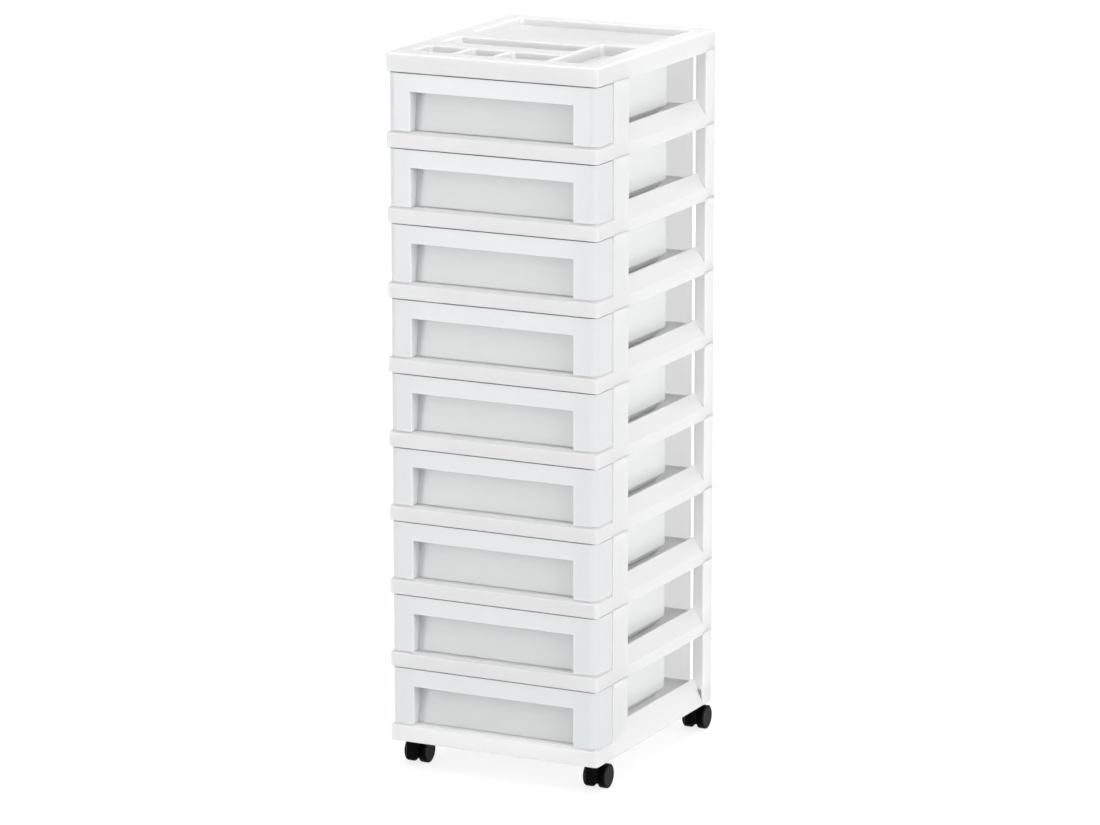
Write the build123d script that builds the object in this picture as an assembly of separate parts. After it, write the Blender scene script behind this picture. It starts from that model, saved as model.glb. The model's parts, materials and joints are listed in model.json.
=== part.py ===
from build123d import *
import math
import os

# Nine-drawer plastic tower on four twin-wheel casters. It is moulded as stacking tier frames,
# an organizer top and translucent drawers. Millimetres. While it is built, y runs back from the
# cabinet's front face, and every piece is moved at the end so that the origin lies on the floor
# under the middle of the tower, with the drawers facing -Y.

# Cabinet
tower_width = 306.0
tower_depth = 362.0
drawer_count = 9
bay_height = 78.0
band_height = 22.0
base_band_height = 24.0
base_clearance = 40.0
corner_radius = 5.0
frame_wall = 2.5
shelf_thickness = 2.5
band_bevel = 3.5

# Posts and shelf of a tier
shelf_depth = 49.0
front_post_width = 44.0
rear_post_width = 31.0
post_depth = 15.0
runner_width = 60.0
back_panel_width = 240.0
tongue_height = 8.0
tongue_root = 10.0
tongue_thickness = 2.5
tongue_inset = 6.0
tongue_clearance = 0.3

# Sloping side rails
rail_wall = 2.2
rail_lean_in = 14.0
rail_drop = 2.0
rail_height = 34.0
rail_upright = 13.0
base_rail_height = 36.0
base_rail_upright = 3.0

# Organizer top
top_height = 25.0
top_edge_bevel = 1.5
well_wall = 2.0
well_depth = 15.0
tray_depth = 10.0
well_corner_radius = 8.0
well_side_margin = 26.0
well_front_margin = 25.0
front_well_length = 51.0
front_well_widths = (57.0, 52.0, 72.0)
divider_width = 6.0
wide_divider = 32.0
trough_length = 52.0
end_well_length = 153.0
tray_divider = 22.0
tray_rear_margin = 21.0

# Drawer
drawer_lift = 0.4
drawer_top_gap = 1.6
drawer_front_setback = 1.0
drawer_side_gap = 1.3
drawer_post_gap = 1.0
drawer_wall = 2.4
drawer_corner_radius = 12.0
handle_post_width = 33.7
handle_rail_height = 23.6
recess_depth_low = 14.0
recess_depth_high = 24.0
bin_rear = 288.0
bin_rim_drop = 2.5
bin_rim_overhang = 2.4
bin_rim_side_gap = 1.1
bin_rim_thickness = 2.0
bin_corner = 12.0
bin_floor_bevel = 12.0
stop_tab_width = 24.0
stop_tab_spacing = 150.0
stop_tab_catch = 1.0

# Casters
wheel_radius = 16.5
wheel_width = 9.6
wheel_gap = 0.4
wheel_cover = 1.0
axle_end_gap = 0.4
hub_radius = 10.2
hub_sides = 8
hub_width = 10.4
caster_trail = 20.0
caster_side_inset = 20.0
caster_end_inset = 26.0
axle_radius = 2.0
running_clearance = 0.05
stem_radius = 4.0
stem_reach = 18.0
housing_reach = 8.5
housing_corner = 4.0
housing_height = 28.7
housing_top_gap = 0.3
wheel_well_clearance = 0.8
socket_wall = 5.0
socket_rib = 2.0

# Derived places
half_width = tower_width / 2
pitch = bay_height + band_height
base_shelf = base_clearance + base_band_height
front_post = (shelf_depth, shelf_depth + front_post_width)
rear_post = (tower_depth - rear_post_width, tower_depth)
top_bottom = base_shelf + drawer_count * bay_height + (drawer_count - 1) * band_height
runner_inner = half_width - runner_width
post_inner = half_width - post_depth
caster_x = half_width - caster_side_inset
caster_overhang = max(0.0, caster_trail + wheel_radius - caster_end_inset)
front_y = -(tower_depth + caster_overhang) / 2
stop_web = (shelf_depth - frame_wall, shelf_depth)
recess_x = half_width - drawer_side_gap - handle_post_width
bin_x = recess_x + drawer_wall


def block(x, y, z):
    """A box between two x, two y and two z values."""
    middle = [(low + high) / 2 for low, high in (x, y, z)]
    return Pos(*middle) * Box(x[1] - x[0], y[1] - y[0], z[1] - z[0])


def both_sides(solid):
    """The solid with its mirror image on the other side of the tower."""
    return solid + mirror(solid, Plane.YZ)


def flat_round(radius):
    """The bevel that leaves a wall as thick in the middle of a corner as a rounding would."""
    return (2 - math.sqrt(2)) * radius


def plate(x, y, z, corner):
    """A block whose upright edges are cut off flat."""
    solid = block(x, y, z)
    return chamfer(solid.edges().filter_by(Axis.Z), corner)


def footprint(z, height):
    """The tower's plan, raised from z."""
    x = (-half_width, half_width)
    return plate(x, (0, tower_depth), (z, z + height), flat_round(corner_radius))


def hollow_plan(z, height):
    """The space inside the outer wall."""
    x = half_width - frame_wall
    return block((-x, x), (frame_wall, tower_depth - frame_wall), (z, z + height))


def run_back(points, y):
    """A section drawn in x and z, run from y[0] to y[1]."""
    section = Plane.XZ * Polygon(*points, align=None)
    return Pos(0, y[1], 0) * extrude(section, y[1] - y[0])


# Tier frames


def bevelled_band(z, height):
    """The front rail and its wraps, with the bevel that leads up to the drawer."""
    band = footprint(z, height) & block(
        (-half_width, half_width), (0, shelf_depth), (z, z + height)
    )
    top_edges = band.edges().group_by(Axis.Z)[-1]
    rim = top_edges.filter_by(lambda edge: edge.center().Y < shelf_depth - 1)
    return chamfer(rim, band_bevel)


def ring_shell(z, height):
    """The skirt and shelf of one tier, hollow below the shelf."""
    rear = footprint(z, height) & block(
        (-half_width, half_width), (shelf_depth, tower_depth), (z, z + height)
    )
    return bevelled_band(z, height) + rear - hollow_plan(z, height - shelf_thickness)


def rail_points(z, height, upright, drop):
    """The section of a side rail: upright at the foot, then leaning in to a thin lip."""
    lean = math.atan2(rail_lean_in, height - upright)
    lip_x = half_width - rail_lean_in
    return [
        (half_width, z - drop),
        (half_width, z + upright),
        (lip_x, z + height),
        (lip_x - rail_wall / math.cos(lean), z + height),
        (half_width - rail_wall, z + upright - rail_wall * math.tan(lean / 2)),
        (half_width - rail_wall, z - drop),
    ]


def outside_rail(z, height, upright):
    """What lies outside a side rail's slope, to be cut from the skirt and shelf."""
    return [
        (half_width, z + upright),
        (half_width + frame_wall, z + upright),
        (half_width + frame_wall, z + height),
        (half_width - rail_lean_in, z + height),
    ]


def with_side_rails(ring, z, height, upright, drop):
    """The ring with its skirt replaced by a sloping rail between the posts of each side."""
    between = (front_post[1], rear_post[0])
    spare = run_back(outside_rail(z, height, upright), between)
    rail = run_back(rail_points(z, height, upright, drop), between)
    return ring - both_sides(spare) + both_sides(rail)


def posts(shelf_z, top_z):
    """Four channel posts, open to the inside, from the shelf to the next tier."""
    plan = footprint(shelf_z, top_z - shelf_z)
    channels = []
    for y in (front_post, rear_post):
        column = block((post_inner, half_width), y, (shelf_z, top_z))
        inside = block(
            (post_inner, half_width - frame_wall),
            (y[0] + frame_wall, y[1] - frame_wall),
            (shelf_z, top_z),
        )
        channels.append((plan & column) - inside)
    return both_sides(channels[0] + channels[1])


def bay(shelf_z):
    """What stands on a shelf and carries the next tier: posts, back panel and tongues."""
    top_z = shelf_z + bay_height
    return posts(shelf_z, top_z) + back_panel(shelf_z, top_z) + tongues(top_z)


def tongues(top_z):
    """The tongues on top of the posts that locate the next tier."""
    outer = half_width - frame_wall
    fitted = outer - tongue_clearance
    plates = []
    for y in (front_post, rear_post):
        span = (y[0] + tongue_inset, y[1] - tongue_inset)
        plates.append(block((fitted - tongue_thickness, outer), span, (top_z - tongue_root, top_z)))
        plates.append(block((fitted - tongue_thickness, fitted), span, (top_z, top_z + tongue_height)))
    return both_sides(plates[0] + plates[1] + plates[2] + plates[3])


def shelf_opening(z, height):
    """The open middle of a tier's shelf."""
    return block((-runner_inner, runner_inner), (shelf_depth, rear_post[0]), (z, z + height))


def back_panel(shelf_z, top_z):
    """The panel that closes the back of a bay, with a slot between it and each rear post."""
    x = back_panel_width / 2
    return block((-x, x), (tower_depth - frame_wall, tower_depth), (shelf_z, top_z))


def drawer_stop(z, height):
    """The web behind the front rail that the tabs of the drawer below catch on."""
    return block((-runner_inner, runner_inner), stop_web, (z, z + height))


def tier_frame(z):
    """One tier: front rail, shelf runners, side rails and the posts of the bay above."""
    ring = ring_shell(z, band_height) - shelf_opening(z, band_height)
    ring += drawer_stop(z, band_height - shelf_thickness)
    ring = with_side_rails(ring, z, rail_height, rail_upright, rail_drop)
    return ring + bay(z + band_height)


def caster_places():
    """Name and stem axis of each caster."""
    ends = (("front", caster_end_inset), ("rear", tower_depth - caster_end_inset))
    sides = (("left", -caster_x), ("right", caster_x))
    return [(f"{end}_{side}", x, y) for end, y in ends for side, x in sides]


def caster_socket(x, y):
    """A ribbed boss under the base shelf, without its bore."""
    z = (base_clearance, base_shelf - shelf_thickness)
    reach = stem_radius + socket_wall
    boss = block((x - reach, x + reach), (y - reach, y + reach), z)
    skirt_x = math.copysign(half_width - frame_wall / 2, x)
    skirt_y = frame_wall / 2 if y < tower_depth / 2 else tower_depth - frame_wall / 2
    side_rib = block(sorted((x, skirt_x)), (y - socket_rib / 2, y + socket_rib / 2), z)
    end_rib = block((x - socket_rib / 2, x + socket_rib / 2), sorted((y, skirt_y)), z)
    return boss + side_rib + end_rib


def base_frame():
    """The lowest tier, with a closed floor, steeper side rails and the caster sockets."""
    ring = ring_shell(base_clearance, base_band_height)
    ring = with_side_rails(ring, base_clearance, base_rail_height, base_rail_upright, 0)
    bore = Circle(stem_radius + running_clearance)
    for _, x, y in caster_places():
        ring += caster_socket(x, y)
        ring -= Pos(x, y, base_clearance) * extrude(bore, stem_reach + 1)
    return ring + bay(base_shelf)


# Organizer top


def well_boxes():
    """Plan of every compartment of the top: x range, y range and depth."""
    left = -half_width + well_side_margin
    front = well_front_margin
    row = (front, front + front_well_length)
    wells = []
    x = left
    for width in front_well_widths:
        wells.append(((x, x + width), row, well_depth))
        x += width + divider_width
    trough_front = row[1] + wide_divider
    wells.append(((left, x - divider_width), (trough_front, trough_front + trough_length), well_depth))
    right = half_width - well_side_margin
    wells.append(((x, right), (front, front + end_well_length), well_depth))
    tray_front = front + end_well_length + tray_divider
    wells.append(((left, right), (tray_front, tower_depth - tray_rear_margin), tray_depth))
    return wells


def well_shell(x, y, bottom, top):
    """What hangs below the top round a compartment, before its space is cut out."""
    grown_x = (x[0] - well_wall, x[1] + well_wall)
    grown_y = (y[0] - well_wall, y[1] + well_wall)
    return block(grown_x, grown_y, (bottom - well_wall, top))


def organizer_top():
    """The tray that closes the tower, with its compartments hanging below its top."""
    top_z = top_bottom + top_height
    shell = footprint(top_bottom, top_height)
    shell = chamfer(shell.edges().group_by(Axis.Z)[-1], top_edge_bevel)
    shell -= hollow_plan(top_bottom, top_height - shelf_thickness)
    for x, y, depth in well_boxes():
        shell += well_shell(x, y, top_z - depth, top_z - shelf_thickness)
    corner = flat_round(well_corner_radius)
    spaces = [plate(x, y, (top_z - depth, top_z), corner) for x, y, depth in well_boxes()]
    lip = block(
        (half_width - frame_wall, half_width),
        (front_post[1], rear_post[0]),
        (top_bottom - rail_drop, top_bottom),
    )
    stop = drawer_stop(top_bottom, top_height - shelf_thickness)
    return shell + both_sides(lip) + stop - spaces


# Drawers


def behind_panel(bottom, top, offset):
    """All the space behind the leaning window panel, offset backwards from its face."""
    y = drawer_front_setback + offset
    profile = Plane.YZ * Polygon(
        (y + recess_depth_low, bottom),
        (tower_depth * 2, bottom),
        (tower_depth * 2, top),
        (y + recess_depth_high, top),
        align=None,
    )
    return Pos(-half_width, 0, 0) * extrude(profile, tower_width)


def drawer_front(bottom, top):
    """The hollow front: handle rail, two posts and wings round the sides."""
    x = half_width - drawer_side_gap
    y = (drawer_front_setback, shelf_depth - drawer_post_gap)
    front = block((-x, x), y, (bottom, top))
    front = fillet(front.edges().filter_by(Axis.Z).group_by(Axis.Y)[0], drawer_corner_radius)
    inner_x = x - drawer_wall
    inside = block((-inner_x, inner_x), (y[0] + drawer_wall, y[1] + 1), (bottom, top - drawer_wall))
    corners = inside.edges().filter_by(Axis.Z).group_by(Axis.Y)[0]
    return front - chamfer(corners, flat_round(drawer_corner_radius - drawer_wall))


def bin_body(bottom, top, inset):
    """The bin's outer form, or its inside when inset by the wall."""
    x = bin_x - inset
    rear = bin_rear - inset
    body = block((-x, x), (0, rear), (bottom, top))
    body = chamfer(body.edges().filter_by(Axis.Z).group_by(Axis.Y)[-1], bin_corner - flat_round(inset))
    low = body.edges().group_by(Axis.Z)[0].filter_by(lambda edge: edge.center().Y > 1)
    return chamfer(low, bin_floor_bevel - flat_round(inset))


def bin_rim(top):
    """The flange round the bin, wide at the sides, where it guides the drawer between the posts."""
    x = post_inner - bin_rim_side_gap
    rear = bin_rear + bin_rim_overhang
    rim = block((-x, x), (0, rear), (top - bin_rim_thickness, top))
    corners = rim.edges().filter_by(Axis.Z).group_by(Axis.Y)[-1]
    return chamfer(corners, bin_corner + flat_round(bin_rim_overhang))


def stop_tabs(rim_top, tab_top):
    """Two tabs on the back wall that catch the web of the frame above at full reach."""
    middle = stop_tab_spacing / 2
    tab = block(
        (middle - stop_tab_width / 2, middle + stop_tab_width / 2),
        (bin_rear - drawer_wall, bin_rear),
        (rim_top - bin_rim_thickness, tab_top),
    )
    return both_sides(tab)


def drawer(shelf_z):
    """One translucent drawer, moulded in one piece."""
    bottom = shelf_z + drawer_lift
    top = shelf_z + bay_height - drawer_top_gap
    rim_top = top - bin_rim_drop
    window_top = top - handle_rail_height
    outer = bin_body(bottom, rim_top, 0) + bin_rim(rim_top)
    outer &= behind_panel(bottom, top, 0)
    panel = behind_panel(bottom, top, 0) - behind_panel(bottom, top, drawer_wall)
    outer += panel & block((-bin_x, bin_x), (0, tower_depth), (bottom, top))
    inside = bin_body(bottom + drawer_wall, top + 1, drawer_wall)
    inside &= behind_panel(bottom, top + 1, drawer_wall)
    cheek = block(
        (recess_x, bin_x),
        (drawer_front_setback + drawer_wall, drawer_front_setback + recess_depth_high),
        (bottom, top - drawer_wall / 2),
    )
    cheeks = both_sides(cheek) - behind_panel(bottom, top, drawer_wall)
    window = block((-recess_x, recess_x), (0, drawer_front_setback + drawer_wall), (bottom, window_top))
    shell = drawer_front(bottom, top) - window
    shell = shell + outer + cheeks - inside
    return shell + stop_tabs(rim_top, shelf_z + bay_height + stop_tab_catch)


# Casters


def along_x(profile, x):
    """A profile drawn in y and z, run from x[0] to x[1]."""
    return Pos(x[0], 0, 0) * extrude(Plane.YZ * profile, x[1] - x[0])


def caster_housing(x, y):
    """The body between the wheels, with a wide nose ahead of them that carries the stem."""
    top = base_clearance - housing_top_gap
    bottom = top - housing_height
    hub = RegularPolygon(hub_radius, hub_sides, major_radius=False, rotation=180 / hub_sides)
    hub = Pos(caster_trail, wheel_radius) * hub
    arm = Pos(0, (top + bottom) / 2) * Rectangle(2 * housing_reach, housing_height)
    web = along_x(make_hull(hub.edges() + arm.edges()), (-hub_width / 2, hub_width / 2))
    nose_back = caster_trail - wheel_radius - wheel_well_clearance
    nose = block((-housing_reach, housing_reach), (-housing_reach, nose_back), (bottom, top))
    nose = chamfer(nose.edges().filter_by(Axis.Z).group_by(Axis.Y)[0], housing_corner)
    pin_hole = Pos(caster_trail, wheel_radius) * Circle(axle_radius + running_clearance)
    body = web + nose - along_x(pin_hole, (-hub_width, hub_width))
    stem = Pos(0, 0, top) * extrude(Circle(stem_radius), housing_top_gap + stem_reach)
    return Pos(x, y, 0) * (body + stem)


def caster_axle(x, y):
    """The pin that both wheels run on."""
    half = hub_width / 2 + wheel_gap + wheel_width - wheel_cover - axle_end_gap
    pin = along_x(Circle(axle_radius), (-half, half))
    return Pos(x, y + caster_trail, wheel_radius) * pin


def caster_wheel(x, y, side):
    """One wheel with a blind bore for the axle; side is -1 or 1."""
    inner = hub_width / 2 + wheel_gap
    disc = along_x(Circle(wheel_radius), (inner, inner + wheel_width))
    bore = Circle(axle_radius + running_clearance)
    wheel = disc - along_x(bore, (inner, inner + wheel_width - wheel_cover))
    if side < 0:
        wheel = mirror(wheel, Plane.YZ)
    return Pos(x, y + caster_trail, wheel_radius) * wheel


def tower_parts():
    """Every piece of the tower by name."""
    pieces = {"base_frame": base_frame(), "organizer_top": organizer_top()}
    for level in range(1, drawer_count):
        pieces[f"tier_frame_{level}"] = tier_frame(base_shelf + level * pitch - band_height)
    for level in range(drawer_count):
        pieces[f"drawer_{level + 1}"] = drawer(base_shelf + level * pitch)
    for name, x, y in caster_places():
        pieces[f"caster_housing_{name}"] = caster_housing(x, y)
        pieces[f"caster_axle_{name}"] = caster_axle(x, y)
        pieces[f"wheel_left_{name}"] = caster_wheel(x, y, -1)
        pieces[f"wheel_right_{name}"] = caster_wheel(x, y, 1)
    return pieces


os.makedirs("parts", exist_ok=True)
for node, piece in tower_parts().items():
    export_step(Pos(0, front_y, 0) * piece, f"parts/{node}.step")
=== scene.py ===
import math

import bpy
from mathutils import Matrix, Vector
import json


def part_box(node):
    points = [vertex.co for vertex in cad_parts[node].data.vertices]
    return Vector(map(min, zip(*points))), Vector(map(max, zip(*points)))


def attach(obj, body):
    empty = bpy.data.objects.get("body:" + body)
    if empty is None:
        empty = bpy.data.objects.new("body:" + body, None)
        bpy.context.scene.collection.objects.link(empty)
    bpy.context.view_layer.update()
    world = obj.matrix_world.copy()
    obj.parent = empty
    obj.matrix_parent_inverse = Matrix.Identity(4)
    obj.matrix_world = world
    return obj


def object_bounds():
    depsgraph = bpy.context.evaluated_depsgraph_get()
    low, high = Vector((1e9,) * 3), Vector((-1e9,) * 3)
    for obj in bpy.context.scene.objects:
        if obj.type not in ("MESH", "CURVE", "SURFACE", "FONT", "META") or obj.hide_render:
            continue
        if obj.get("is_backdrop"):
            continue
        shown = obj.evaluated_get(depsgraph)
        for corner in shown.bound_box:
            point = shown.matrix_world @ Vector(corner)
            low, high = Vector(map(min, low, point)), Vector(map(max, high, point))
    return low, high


# Plastic drawer tower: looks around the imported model. Metres, +Z up, drawers facing -Y.

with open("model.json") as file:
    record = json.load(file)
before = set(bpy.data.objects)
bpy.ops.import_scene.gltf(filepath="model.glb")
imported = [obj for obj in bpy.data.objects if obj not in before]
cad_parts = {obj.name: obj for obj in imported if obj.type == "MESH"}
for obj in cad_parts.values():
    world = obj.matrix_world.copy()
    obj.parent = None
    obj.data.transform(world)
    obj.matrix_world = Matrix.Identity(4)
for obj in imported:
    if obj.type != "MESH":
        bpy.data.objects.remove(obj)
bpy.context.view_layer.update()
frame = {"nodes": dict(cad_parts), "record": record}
nodes = frame["nodes"]

# Photograph's view, solved from the tower's straight edges in its 1100 x 825 frame
CAMERA_PLACE = (3.060, -6.190, 2.056)
CAMERA_YAW = 26.36
CAMERA_DOWN = 12.98
CAMERA_ROLL = -0.05
CAMERA_FOCAL_PX = 5308.0
CAMERA_SIGHT = 100.0
PHOTO_WIDTH_PX = 1100
SENSOR_WIDTH = 36.0

# Surfaces: colour, roughness, specular level, and the scale and height of their fine grain
SURFACES = {
    "white_plastic": ((0.955, 0.955, 0.953), 0.36, 0.5, 900.0, 0.00002),
    "drawer_plastic": ((0.685, 0.703, 0.709), 0.32, 0.5, 700.0, 0.00002),
    "black_plastic": ((0.003, 0.003, 0.003), 0.40, 0.02, 1200.0, 0.00003),
    "wheel_plastic": ((0.003, 0.003, 0.003), 0.40, 0.02, 1200.0, 0.00003),
    "zinc_steel": ((0.55, 0.55, 0.57), 0.32, 0.5, 1500.0, 0.00001),
    "cap_plastic": ((0.018, 0.018, 0.019), 0.42, 0.04, 1200.0, 0.00003),
}
REFRACTION = 1.49
GRAIN_DETAIL = 3.0
GRAIN_STRENGTH = 0.3

# Slow drift of tone and gloss over each surface
DRIFT_SCALE = 9.0
DRIFT_DETAIL = 2.0
TONE_DRIFT = 0.015
GLOSS_DRIFT = 0.04

# How far the shading rounds an edge, and with how many samples
SHADED_EDGE = 0.0012
SHADED_EDGE_SAMPLES = 6

# How deep light goes into the plastics; the second of each pair is for thin walls and bays
FRAME_DEPTHS = (0.010, 0.018)
DRAWER_DEPTHS = (0.004, 0.010)

# Reaches about the tower's middle plane: half width, nearest Y, furthest Y
PANEL_REACH = (0.1182, -0.1775, -0.158)
BIN_REACH = (0.140, -0.158, 0.2)
BAY_REACH = (0.136, -0.160, 0.176)
REACH_SOFTNESS = 0.0005
ORGANIZER_UNDERSIDE = 0.944

# Painted light on the drawers: their bins and undersides coloured paler than the fronts, to lift
# the shade in the bays and beneath them
# Painted light: the bins paler than the fronts, making up for the shade inside the bays
BIN_PAINTED_LIGHT = (0.79, 0.80, 0.80, 1)
# Painted light: undersides paler, lifting the shade beneath the bins
UNDERSIDE_PAINTED_LIGHT = (0.97, 0.975, 0.975, 1)

# Where a face counts as looking inwards (its direction times its place) or down, and the blend
INWARD = (-0.04, 0.01)
DOWNWARD = (-0.4, 0.2)

# Moulded edges: width of the rounding by material, and what counts as an edge
EDGE_WIDTHS = {
    "frame_plastic": 0.0006,
    "drawer_plastic": 0.0008,
    "caster_plastic": 0.0008,
    "wheel_plastic": 0.0008,
    "steel": 0.0003,
}
EDGE_SEGMENTS = 2
EDGE_ANGLE = 30.0
FLAT_ANGLE = 1.0
WELD_REACH = 0.00001
FACE_WEIGHT = 100

# Discs in the wheels' outer faces: radius, and how far out from the face
CAP_OUTLINE = [
    (0.0, 0.00025), (0.0040, 0.0003), (0.0105, 0.00045), (0.0122, 0.0006), (0.0131, 0.0006),
    (0.0136, 0.0004), (0.0139, 0.0), (0.0140, -0.0004), (0.0, -0.0004),
]
CAP_SIDES = 48

# Stage: brightness of the even light, and the floor as it lights the tower and as it is seen
AMBIENT = 0.72
FLOOR_RADIUS = 30.0
FLOOR_SIDES = 64
FLOOR_TONE = 0.9
FLOOR_SEEN_TONE = 0.32
FLOOR_SEEN_GLOW = 0.78

# Lamps: place, target, size, and how much of plain white each adds at its target
LAMPS = {
    "key": ((4.2, -1.4, 1.7), (0, 0, 0.5), 2.5, 0.36),
    "fill": ((-2.2, -4.4, 0.9), (0, 0, 0.35), 1.8, 0.22),
    "back": ((-1.2, 3.8, 0.5), (0, 0, 0.5), 1.2, 0.28),
    "top": ((0.2, -0.4, 4.6), (0, 0, 0.9), 2.0, 0.36),
}


# Values and masks in a material's node tree


def own_space(tree, output):
    """A point's place ("Object") or its surface's direction ("Normal") in its node's own space."""
    return tree.nodes.new("ShaderNodeTexCoord").outputs[output]


def apart(tree, vector):
    """X, Y and Z of a vector."""
    split = tree.nodes.new("ShaderNodeSeparateXYZ")
    tree.links.new(vector, split.inputs[0])
    return split.outputs


def combined(tree, operation, one, other):
    """Two values put together by a math operation."""
    node = tree.nodes.new("ShaderNodeMath")
    node.operation = operation
    tree.links.new(one, node.inputs[0])
    tree.links.new(other, node.inputs[1])
    return node.outputs[0]


def noise(tree, scale, detail):
    """Even noise through the node's own space."""
    texture = tree.nodes.new("ShaderNodeTexNoise")
    texture.inputs["Scale"].default_value = scale
    texture.inputs["Detail"].default_value = detail
    tree.links.new(own_space(tree, "Object"), texture.inputs["Vector"])
    return texture.outputs["Fac"]


def spread(tree, value, start, end, low=0.0, high=1.0):
    """From start to end while a value goes from low to high."""
    ramp = tree.nodes.new("ShaderNodeMapRange")
    ramp.inputs["From Min"].default_value = low
    ramp.inputs["From Max"].default_value = high
    ramp.inputs["To Min"].default_value = start
    ramp.inputs["To Max"].default_value = end
    tree.links.new(value, ramp.inputs["Value"])
    return ramp.outputs["Result"]


def below(tree, value, edge, softness=REACH_SOFTNESS):
    """1 below an edge value, 0 above it."""
    return spread(tree, value, 1.0, 0.0, edge - softness, edge + softness)


def above(tree, value, edge, softness=REACH_SOFTNESS):
    """1 above an edge value, 0 below it."""
    return spread(tree, value, 0.0, 1.0, edge - softness, edge + softness)


def within(tree, half_width, from_y, to_y):
    """1 inside a reach about the tower's middle plane, 0 outside it."""
    x, y, _ = apart(tree, own_space(tree, "Object"))
    aside = tree.nodes.new("ShaderNodeMath")
    aside.operation = "ABSOLUTE"
    tree.links.new(x, aside.inputs[0])
    inside = below(tree, aside.outputs[0], half_width)
    inside = combined(tree, "MULTIPLY", inside, above(tree, y, from_y))
    return combined(tree, "MULTIPLY", inside, below(tree, y, to_y))


def facing_in(tree):
    """1 on faces that look from outside towards the tower's middle line."""
    level = tree.nodes.new("ShaderNodeVectorMath")
    level.operation = "MULTIPLY"
    level.inputs[1].default_value = (1, 1, 0)
    tree.links.new(own_space(tree, "Object"), level.inputs[0])
    outward = tree.nodes.new("ShaderNodeVectorMath")
    outward.operation = "DOT_PRODUCT"
    tree.links.new(level.outputs[0], outward.inputs[0])
    tree.links.new(own_space(tree, "Normal"), outward.inputs[1])
    return below(tree, outward.outputs["Value"], *INWARD)


def facing_down(tree):
    """1 on undersides."""
    return below(tree, apart(tree, own_space(tree, "Normal"))[2], *DOWNWARD)


def toned(tree, mask, tone, other):
    """A tone, given as a colour or a socket, with another colour where a mask is 1."""
    mix = tree.nodes.new("ShaderNodeMix")
    mix.data_type = "RGBA"
    if isinstance(tone, bpy.types.NodeSocket):
        tree.links.new(tone, mix.inputs["A"])
    else:
        mix.inputs["A"].default_value = tone
    mix.inputs["B"].default_value = other
    tree.links.new(mask, mix.inputs["Factor"])
    return mix.outputs["Result"]


# Materials


def surface(name):
    """A moulded or drawn surface: slightly uneven tone and gloss, and a very fine grain."""
    colour, roughness, specular, grain_scale, grain_height = SURFACES[name]
    material = bpy.data.materials.new(name)
    material.use_nodes = True
    tree = material.node_tree
    shader = tree.nodes["Principled BSDF"]
    shader.inputs["IOR"].default_value = REFRACTION
    shader.inputs["Specular IOR Level"].default_value = specular
    drift = noise(tree, DRIFT_SCALE, DRIFT_DETAIL)
    darker = [(1 - TONE_DRIFT) * part for part in colour]
    lighter = [(1 + TONE_DRIFT) * part for part in colour]
    gloss = spread(tree, drift, roughness - GLOSS_DRIFT, roughness + GLOSS_DRIFT)
    tree.links.new(toned(tree, drift, (*darker, 1), (*lighter, 1)), shader.inputs["Base Color"])
    tree.links.new(gloss, shader.inputs["Roughness"])
    tree.links.new(grained(tree, grain_scale, grain_height), shader.inputs["Normal"])
    return material


def grained(tree, scale, height):
    """A surface's direction with its edges rounded and a fine grain."""
    rounding = tree.nodes.new("ShaderNodeBevel")
    rounding.samples = SHADED_EDGE_SAMPLES
    rounding.inputs["Radius"].default_value = SHADED_EDGE
    bump = tree.nodes.new("ShaderNodeBump")
    bump.inputs["Distance"].default_value = height
    bump.inputs["Strength"].default_value = GRAIN_STRENGTH
    tree.links.new(noise(tree, scale, GRAIN_DETAIL), bump.inputs["Height"])
    tree.links.new(rounding.outputs["Normal"], bump.inputs["Normal"])
    return bump.outputs["Normal"]


def make_milky(material, thin, depth, deeper):
    """Let light into a plastic, and deeper where a mask of its thin parts is 1."""
    tree = material.node_tree
    shader = tree.nodes["Principled BSDF"]
    shader.inputs["Subsurface Weight"].default_value = 1.0
    shader.inputs["Subsurface Radius"].default_value = (1.0, 1.0, 1.0)
    shader.inputs["Subsurface Scale"].default_value = depth
    tree.links.new(spread(tree, thin, depth, deeper), shader.inputs["Subsurface Scale"])


def frame_plastic():
    """White satin plastic of the tiers, base and top, which lets daylight into the bays."""
    material = surface("white_plastic")
    tree = material.node_tree
    in_bay = combined(tree, "MAXIMUM", facing_in(tree), within(tree, *BAY_REACH))
    under_top = below(tree, apart(tree, own_space(tree, "Object"))[2], ORGANIZER_UNDERSIDE)
    make_milky(material, combined(tree, "MULTIPLY", in_bay, under_top), *FRAME_DEPTHS)
    return material


def drawer_plastic():
    """Milky translucent plastic of the drawers, with painted light: paler in the bins and on
    undersides to lift their shade.
    """
    material = surface("drawer_plastic")
    tree = material.node_tree
    in_bin, underside = within(tree, *BIN_REACH), facing_down(tree)
    bin_floor = combined(tree, "MULTIPLY", in_bin, underside)
    thin = combined(tree, "MAXIMUM", within(tree, *PANEL_REACH), bin_floor)
    make_milky(material, thin, *DRAWER_DEPTHS)
    base = tree.nodes["Principled BSDF"].inputs["Base Color"]
    # Painted light: the bins paler than the fronts
    tone = toned(tree, in_bin, base.links[0].from_socket, BIN_PAINTED_LIGHT)
    # Painted light: undersides paler, lifting their shade
    tree.links.new(toned(tree, underside, tone, UNDERSIDE_PAINTED_LIGHT), base)
    return material


def steel():
    """Plain zinc-plated pin."""
    material = surface("zinc_steel")
    material.node_tree.nodes["Principled BSDF"].inputs["Metallic"].default_value = 1.0
    return material


MATERIALS = {
    "frame_plastic": frame_plastic(),
    "drawer_plastic": drawer_plastic(),
    "caster_plastic": surface("black_plastic"),
    "wheel_plastic": surface("wheel_plastic"),
    "steel": steel(),
}
CAP_PLASTIC = surface("cap_plastic")


# Moulded edges of the carried-over nodes


def shade_smooth(mesh):
    """Smooth shading on every face."""
    for polygon in mesh.polygons:
        polygon.use_smooth = True


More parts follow.
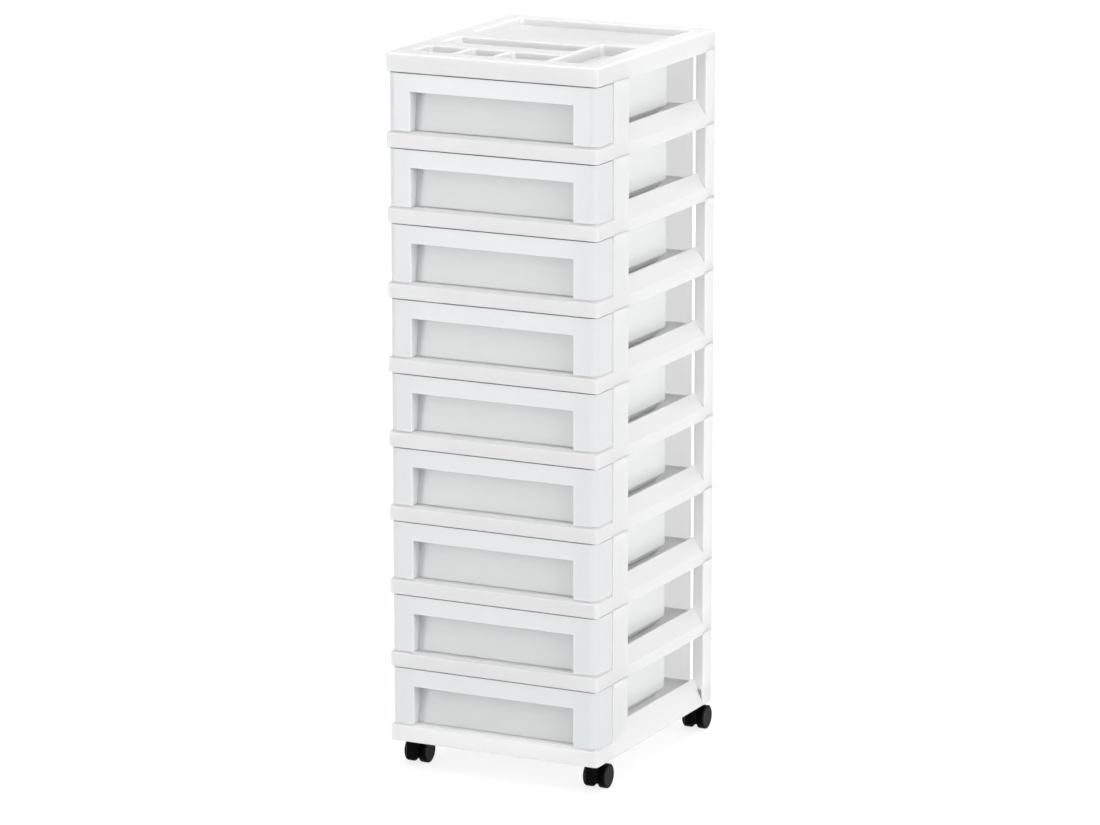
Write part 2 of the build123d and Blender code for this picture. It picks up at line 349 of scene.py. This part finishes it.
def soften(node, width):
    """Round a node's sharp edges: its doubled corners are welded and its flats made whole first."""
    weld = node.modifiers.new("weld", "WELD")
    weld.merge_threshold = WELD_REACH
    flats = node.modifiers.new("flats", "DECIMATE")
    flats.decimate_type = "DISSOLVE"
    flats.angle_limit = math.radians(FLAT_ANGLE)
    bevel = node.modifiers.new("moulded_edges", "BEVEL")
    bevel.width = width
    bevel.segments = EDGE_SEGMENTS
    bevel.limit_method = "ANGLE"
    bevel.angle_limit = math.radians(EDGE_ANGLE)
    bevel.use_clamp_overlap = True
    shade = node.modifiers.new("shading", "WEIGHTED_NORMAL")
    shade.keep_sharp = False
    shade.weight = FACE_WEIGHT
    shade_smooth(node.data)


slots = {part["node"]: part["material_slot"] for part in frame["record"]["subparts"]}
for name, node in nodes.items():
    node.data.materials.clear()
    node.data.materials.append(MATERIALS[slots[name]])
    soften(node, EDGE_WIDTHS[slots[name]])


# Discs in the wheels' outer faces


def turned(name, outline, axis_place, side):
    """A body turned about an X axis from (radius, outward) points, facing side."""
    centre_x, centre_y, centre_z = axis_place
    corners, faces, rings = [], [], []
    for radius, outward in outline:
        x = centre_x + side * outward
        if radius == 0.0:
            rings.append([len(corners)] * CAP_SIDES)
            corners.append((x, centre_y, centre_z))
            continue
        rings.append(list(range(len(corners), len(corners) + CAP_SIDES)))
        for i in range(CAP_SIDES):
            turn = 2 * math.pi * i / CAP_SIDES
            y, z = centre_y + radius * math.cos(turn), centre_z + radius * math.sin(turn)
            corners.append((x, y, z))
    for ring, following in zip(rings, rings[1:]):
        for i in range(CAP_SIDES):
            j = (i + 1) % CAP_SIDES
            face = dict.fromkeys([ring[i], ring[j], following[j], following[i]])
            faces.append(list(face) if side < 0 else list(face)[::-1])
    mesh = bpy.data.meshes.new(name)
    mesh.from_pydata(corners, [], faces)
    shade_smooth(mesh)
    piece = bpy.data.objects.new(name, mesh)
    bpy.context.scene.collection.objects.link(piece)
    return piece


for name in sorted(nodes):
    if not name.startswith("wheel_"):
        continue
    side = -1 if name.startswith("wheel_left") else 1
    low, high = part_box(name)
    face_x = high[0] if side > 0 else low[0]
    axis_place = (face_x, (low[1] + high[1]) / 2, (low[2] + high[2]) / 2)
    cap = turned(name.replace("wheel", "cap"), CAP_OUTLINE, axis_place, side)
    cap.data.materials.append(CAP_PLASTIC)
    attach(cap, name)


# Stage, light and camera


def seen_by_eye(tree):
    """1 for a ray from the camera, or one that gloss or clear plastic passes on."""
    rays = tree.nodes.new("ShaderNodeLightPath")
    total = rays.outputs["Is Camera Ray"]
    for other in ("Is Glossy Ray", "Is Transmission Ray"):
        total = combined(tree, "MAXIMUM", total, rays.outputs[other])
    return total


def matt(tree, tone):
    """A plain matt grey."""
    diffuse = tree.nodes.new("ShaderNodeBsdfDiffuse")
    diffuse.inputs["Color"].default_value = (tone, tone, tone, 1)
    return diffuse.outputs[0]


def floor_material():
    """A pale ground that the camera sees as nearly white, and that still takes a shadow."""
    material = bpy.data.materials.new("floor_white")
    material.use_nodes = True
    tree = material.node_tree
    tree.nodes.clear()
    output = tree.nodes.new("ShaderNodeOutputMaterial")
    glow = tree.nodes.new("ShaderNodeEmission")
    glow.inputs["Strength"].default_value = FLOOR_SEEN_GLOW
    seen = tree.nodes.new("ShaderNodeAddShader")
    tree.links.new(matt(tree, FLOOR_SEEN_TONE), seen.inputs[0])
    tree.links.new(glow.outputs[0], seen.inputs[1])
    choose = tree.nodes.new("ShaderNodeMixShader")
    tree.links.new(seen_by_eye(tree), choose.inputs[0])
    tree.links.new(matt(tree, FLOOR_TONE), choose.inputs[1])
    tree.links.new(seen.outputs[0], choose.inputs[2])
    tree.links.new(choose.outputs[0], output.inputs["Surface"])
    return material


def make_world():
    """Even white light, seen as plain white behind the object."""
    world = bpy.data.worlds.new("studio")
    bpy.context.scene.world = world
    world.use_nodes = True
    tree = world.node_tree
    background = tree.nodes["Background"]
    background.inputs["Color"].default_value = (1, 1, 1, 1)
    strength = spread(tree, seen_by_eye(tree), AMBIENT, 1.0)
    tree.links.new(strength, background.inputs["Strength"])


def make_floor():
    """A round plain floor under the casters."""
    turns = [2 * math.pi * i / FLOOR_SIDES for i in range(FLOOR_SIDES)]
    ring = [(FLOOR_RADIUS * math.cos(turn), FLOOR_RADIUS * math.sin(turn), 0) for turn in turns]
    mesh = bpy.data.meshes.new("floor")
    mesh.from_pydata(ring, [], [range(FLOOR_SIDES)])
    mesh.materials.append(floor_material())
    floor = bpy.data.objects.new("floor", mesh)
    bpy.context.scene.collection.objects.link(floor)
    floor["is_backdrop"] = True


def soft_light(name, place, target, size, level):
    """A square light aimed at a point; level is how much of plain white it adds there."""
    towards = Vector(target) - Vector(place)
    light = bpy.data.lights.new(name, "AREA")
    light.shape = "SQUARE"
    light.size = size
    light.energy = level * math.pi**2 * towards.length**2
    lamp = bpy.data.objects.new(name, light)
    lamp.location = place
    lamp.rotation_euler = towards.to_track_quat("-Z", "Y").to_euler()
    bpy.context.scene.collection.objects.link(lamp)


def make_camera():
    """The photograph's camera."""
    camera = bpy.data.cameras.new("camera")
    camera.sensor_width = SENSOR_WIDTH
    camera.lens = SENSOR_WIDTH * CAMERA_FOCAL_PX / PHOTO_WIDTH_PX
    camera.clip_end = CAMERA_SIGHT
    eye = bpy.data.objects.new("camera", camera)
    eye.matrix_world = (
        Matrix.Translation(CAMERA_PLACE)
        @ Matrix.Rotation(math.radians(CAMERA_YAW), 4, "Z")
        @ Matrix.Rotation(math.radians(90 - CAMERA_DOWN), 4, "X")
        @ Matrix.Rotation(math.radians(CAMERA_ROLL), 4, "Z")
    )
    bpy.context.scene.collection.objects.link(eye)
    bpy.context.scene.camera = eye


make_world()
make_floor()
for name, lamp in LAMPS.items():
    soft_light(name, *lamp)
make_camera()
bpy.context.scene.view_settings.view_transform = "Standard"

low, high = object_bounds()
